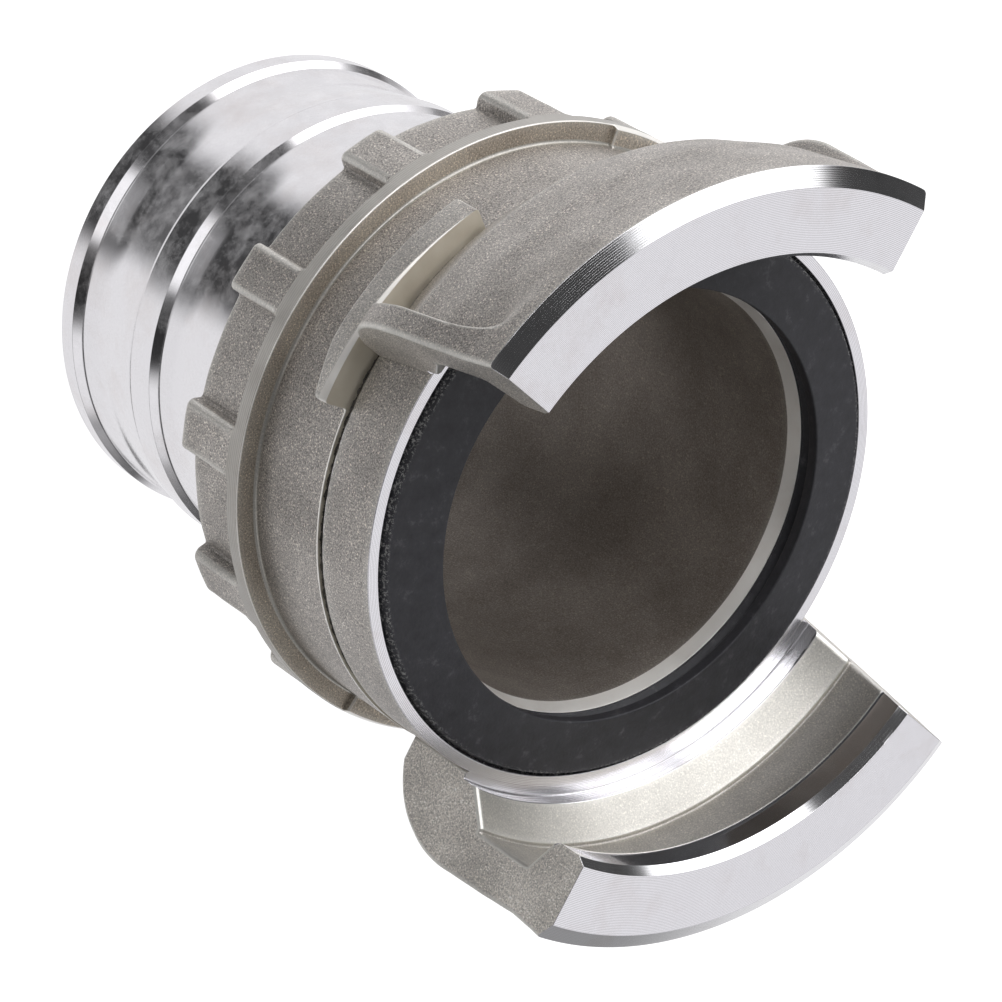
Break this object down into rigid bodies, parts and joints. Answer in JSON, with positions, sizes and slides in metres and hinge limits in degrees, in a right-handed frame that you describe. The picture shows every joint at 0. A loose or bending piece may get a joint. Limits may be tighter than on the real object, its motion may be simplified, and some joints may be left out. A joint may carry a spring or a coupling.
{
  "type": "symmetrical hose coupling",
  "caption": "Symmetrical two-lug hose coupling half in aluminium with a turning locking ring, a rubber face seal and a ribbed hose tail.",
  "frame": {"origin": "centre of the free end of the hose tail, on the surface the coupling stands on", "axes": "+Z along the bore, from the hose tail to the coupling face; the two lugs are centred on +X and -X"},
  "size_m": [0.1598, 0.131, 0.1646],
  "materials": {
    "body_casting": "sand-cast, turned bright on the tail, the face and the lug fronts",
    "ring_casting": "sand-cast, turned on the arc fronts",
    "seal_rubber": "matt black, slightly dusty",
    "wire_steel": "drawn stainless wire, square section"
  },
  "bodies": {
    "body": {"coupling_body": "body_casting", "face_seal": "seal_rubber"},
    "ring": {"locking_ring": "ring_casting", "retaining_wire": "wire_steel"}
  },
  "joints": [
    {"name": "ring_turn", "type": "hinge", "parent": "body", "child": "ring", "pos_m": [0, 0, 0.0917], "axis": [0, 0, 1], "continuous": true}
  ]
}
